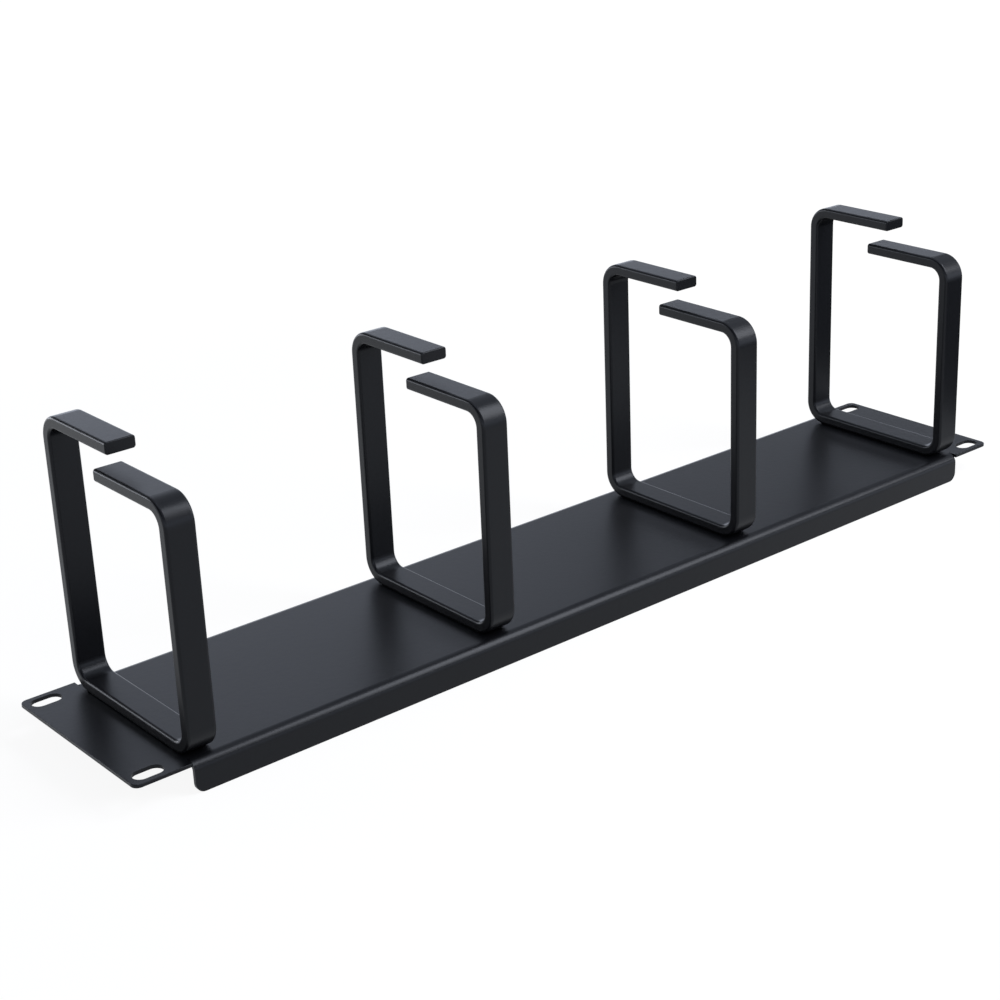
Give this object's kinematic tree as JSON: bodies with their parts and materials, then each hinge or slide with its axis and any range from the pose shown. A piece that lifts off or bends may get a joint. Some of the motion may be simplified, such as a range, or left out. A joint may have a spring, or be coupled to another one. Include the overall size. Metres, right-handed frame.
{
  "type": "horizontal cable manager",
  "caption": "Folded steel rack panel with slotted ears that carries open rings of flat bar, each with overlapping arms and a gap for laying cables in.",
  "frame": {"origin": "centre of the four rack slots, on the rear face of the ears that meets the rack's rails", "axes": "+X along the panel, +Y across its height in the rack, +Z out of the front face towards the rings"},
  "size_m": [0.4826, 0.0882, 0.126],
  "materials": {
    "panel_coat": "black satin powder coat on folded sheet steel",
    "ring_coat": "black satin powder coat on flat steel bar",
    "screw_zinc": "bright zinc plating"
  },
  "bodies": {
    "root": {"panel": "panel_coat", "ring_left_outer": "ring_coat", "ring_left_inner": "ring_coat", "ring_right_inner": "ring_coat", "ring_right_outer": "ring_coat", "screw_left_outer_lower": "screw_zinc", "screw_left_outer_upper": "screw_zinc", "screw_left_inner_lower": "screw_zinc", "screw_left_inner_upper": "screw_zinc", "screw_right_inner_lower": "screw_zinc", "screw_right_inner_upper": "screw_zinc", "screw_right_outer_lower": "screw_zinc", "screw_right_outer_upper": "screw_zinc"}
  },
  "joints": []
}
